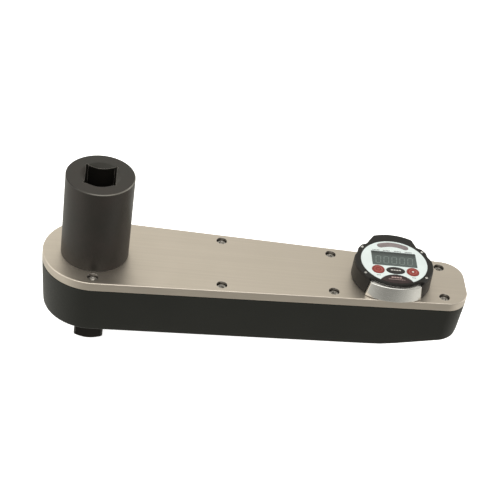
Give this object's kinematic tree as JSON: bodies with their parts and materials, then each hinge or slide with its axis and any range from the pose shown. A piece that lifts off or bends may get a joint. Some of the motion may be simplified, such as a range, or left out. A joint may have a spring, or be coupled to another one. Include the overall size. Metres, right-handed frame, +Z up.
{
  "type": "feed-through digital torque wrench",
  "caption": "Tapered torque wrench body with a square input tower, a male square drive below, a torsion shaft with a sensing arm inside, and a round digital gauge on its cover.",
  "frame": {"origin": "middle of the male square's end face, on the drive axis", "axes": "+Z up along the drive axis from the male square to the input socket, +X along the body from the drive axis to the gauge"},
  "size_m": [0.3684, 0.0882, 0.1676],
  "materials": {
    "black_casting": "black fine-textured enamel on a casting",
    "brushed_cover": "brushed nickel-plated steel, grain along the body",
    "black_oxide": "turned steel, blackened, oiled",
    "spring_steel": "ground alloy steel",
    "fastener": "zinc plated",
    "bronze": "sintered bronze",
    "satin_aluminium": "satin turned",
    "black_plastic": "moulded, lightly textured",
    "gloss_black": "moulded, polished",
    "black_rubber": "moulded",
    "white_dial": "printed overlay, semi-gloss",
    "red_button": "moulded, satin",
    "signal_window": "smoked translucent",
    "lcd": "reflective display",
    "dark_label": "printed plate with no lettering",
    "circuit_board": "solder mask",
    "lead_jacket": "extruded"
  },
  "bodies": {
    "root": {"housing": "black_casting", "cover_gasket": "black_rubber", "cover_plate": "brushed_cover", "input_tower": "black_oxide", "lower_bush": "bronze", "shaft_seal": "black_rubber", "thrust_washer": "spring_steel", "encoder": "black_plastic", "encoder_lead": "lead_jacket", "gauge_gasket": "black_rubber", "gauge_body": "satin_aluminium", "gauge_case": "black_plastic", "gauge_bezel": "black_plastic", "battery": "fastener", "circuit_board": "circuit_board", "display_module": "lcd", "dial_face": "white_dial", "signal_window": "signal_window", "label_plate": "dark_label", "cover_screw_1": "fastener", "cover_screw_2": "fastener", "cover_screw_3": "fastener", "cover_screw_4": "fastener", "cover_screw_5": "fastener", "cover_screw_6": "fastener", "cover_screw_7": "fastener", "cover_screw_8": "fastener", "tower_screw_1": "fastener", "tower_screw_2": "fastener", "tower_screw_3": "fastener", "tower_screw_4": "fastener", "tower_screw_5": "fastener", "tower_screw_6": "fastener", "bezel_screw_1": "fastener", "bezel_screw_2": "fastener", "bezel_screw_3": "fastener", "bezel_screw_4": "fastener", "gauge_screw_1": "fastener", "gauge_screw_2": "fastener", "gauge_screw_3": "fastener", "overload_stop_1": "spring_steel", "overload_stop_2": "spring_steel", "tower_dowel_1": "spring_steel", "tower_dowel_2": "spring_steel"},
    "drive": {"torsion_shaft": "spring_steel", "retaining_ring": "spring_steel", "sensing_arm": "satin_aluminium", "hub_key": "spring_steel", "hub_set_screw": "fastener", "detent_spring": "spring_steel"},
    "detent": {"detent_ball": "spring_steel"},
    "encoder_spindle": {"encoder_pinion": "bronze"},
    "left_button": {"left_button": "red_button"},
    "right_button": {"right_button": "red_button"},
    "mode_button": {"mode_button": "gloss_black"}
  },
  "joints": [
    {"name": "shaft_twist", "type": "hinge", "parent": "root", "child": "drive", "pos_m": [0, 0, 0.05], "axis": [0, 0, 1], "range_deg": [-1.5, 1.5], "stiffness_Nm_per_rad": 150},
    {"name": "pinion_spin", "type": "hinge", "parent": "root", "child": "encoder_spindle", "pos_m": [0.2573, 0, 0.065], "axis": [0, 0, 1], "range_deg": [-42, 42]},
    {"name": "left_button_press", "type": "slide", "parent": "root", "child": "left_button", "axis": [0, 0, -1], "range_m": [0, 0.0006], "stiffness_N_per_m": 500},
    {"name": "right_button_press", "type": "slide", "parent": "root", "child": "right_button", "axis": [0, 0, -1], "range_m": [0, 0.0006], "stiffness_N_per_m": 500},
    {"name": "mode_button_press", "type": "slide", "parent": "root", "child": "mode_button", "axis": [0, 0, -1], "range_m": [0, 0.0006], "stiffness_N_per_m": 500},
    {"name": "detent_press", "type": "slide", "parent": "drive", "child": "detent", "axis": [-1, 0, 0], "range_m": [0, 0.0015], "stiffness_N_per_m": 800}
  ],
  "couplings": [
    {"joint": "pinion_spin", "follows": "shaft_twist", "ratio": -27.589}
  ]
}
